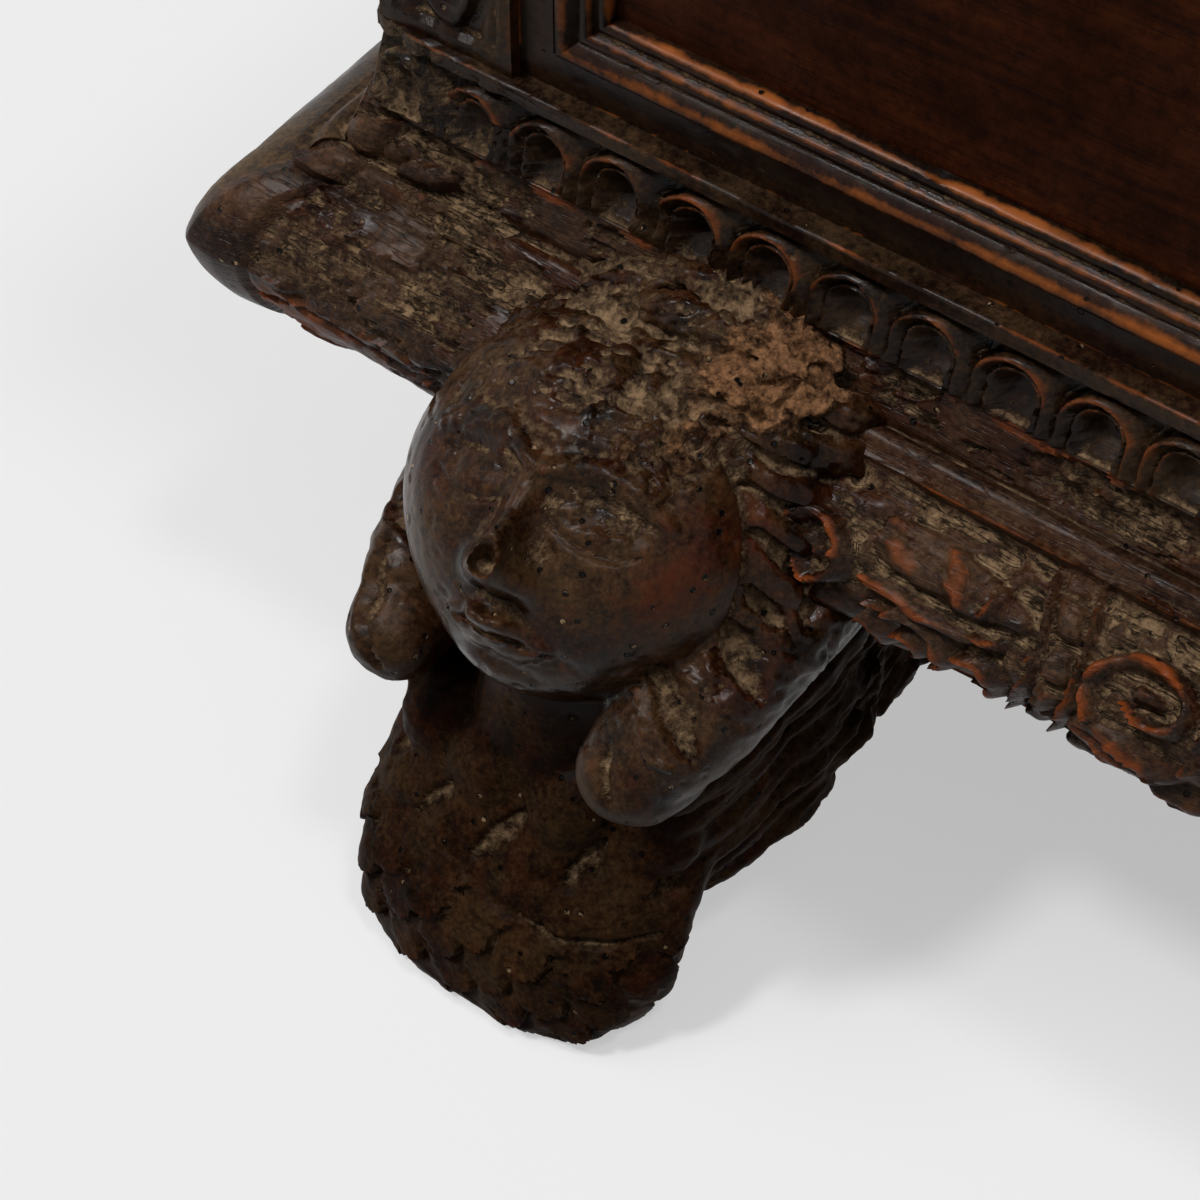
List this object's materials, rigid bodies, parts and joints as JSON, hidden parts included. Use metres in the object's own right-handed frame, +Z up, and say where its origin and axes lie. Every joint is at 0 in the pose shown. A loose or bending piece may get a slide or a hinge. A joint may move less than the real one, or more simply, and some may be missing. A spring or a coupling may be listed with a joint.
{
  "type": "cassone",
  "caption": "Long low walnut chest with a hinged lid, a sunk mitred front panel between corner pilasters, carved plinth mouldings and front feet carved as winged heads.",
  "frame": {"origin": "on the floor under the middle of the whole chest, feet and hinges included", "axes": "+X to the right seen from the front, +Y to the back, +Z up; the carved front looks to -Y"},
  "size_m": [1.737, 0.667, 0.6383],
  "materials": {
    "walnut": "aged waxed walnut, worn and dusty in the hollows",
    "field_walnut": "aged plain walnut board, dark red-brown, dull wax",
    "raw_walnut": "unfinished dry timber, sawn and planed",
    "iron": "forged iron, dark oxide with worn edges"
  },
  "bodies": {
    "carcass": {"back_board": "walnut", "bottom_batten_left": "raw_walnut", "bottom_batten_right": "raw_walnut", "bottom_plank_1": "raw_walnut", "bottom_plank_2": "raw_walnut", "bottom_plank_3": "raw_walnut", "corner_blocks": "raw_walnut", "end_board_left": "walnut", "end_board_right": "walnut", "escutcheon": "iron", "frieze_moulding_front": "walnut", "frieze_moulding_left": "walnut", "frieze_moulding_right": "walnut", "front_board": "field_walnut", "front_foot_left": "walnut", "front_foot_right": "walnut", "handle_posts_left": "iron", "handle_posts_right": "iron", "hinge_leaf_left": "iron", "hinge_leaf_right": "iron", "hinge_pin_left": "iron", "hinge_pin_right": "iron", "lock_case": "iron", "lunette_moulding_front": "walnut", "lunette_moulding_left": "walnut", "lunette_moulding_right": "walnut", "panel_moulding_bottom": "walnut", "panel_moulding_left": "walnut", "panel_moulding_right": "walnut", "panel_moulding_top": "walnut", "pilaster_left": "walnut", "pilaster_right": "walnut", "plinth_back": "raw_walnut", "plinth_front": "walnut", "plinth_left": "walnut", "plinth_right": "walnut", "rear_foot_left": "walnut", "rear_foot_right": "walnut"},
    "lid": {"hinge_strap_left": "iron", "hinge_strap_right": "iron", "lid_batten_left": "raw_walnut", "lid_batten_right": "raw_walnut", "lid_board_back": "walnut", "lid_board_front": "walnut", "lid_lip_front": "walnut", "lid_lip_left": "walnut", "lid_lip_right": "walnut", "lock_staple": "iron"},
    "bolt": {"lock_bolt": "iron"},
    "handle_left": {"handle_left": "iron"},
    "handle_right": {"handle_right": "iron"}
  },
  "joints": [
    {"name": "lid_hinge", "type": "hinge", "parent": "carcass", "child": "lid", "pos_m": [0, 0.3275, 0.6043], "axis": [-1, 0, 0], "range_deg": [0, 100]},
    {"name": "bolt_slide", "type": "slide", "parent": "carcass", "child": "bolt", "axis": [1, 0, 0], "range_m": [0, 0.016]},
    {"name": "handle_left_swing", "type": "hinge", "parent": "carcass", "child": "handle_left", "pos_m": [-0.834, 0.0615, 0.44], "axis": [0, 1, 0], "range_deg": [0, 165]},
    {"name": "handle_right_swing", "type": "hinge", "parent": "carcass", "child": "handle_right", "pos_m": [0.834, 0.0615, 0.44], "axis": [0, -1, 0], "range_deg": [0, 165]}
  ]
}
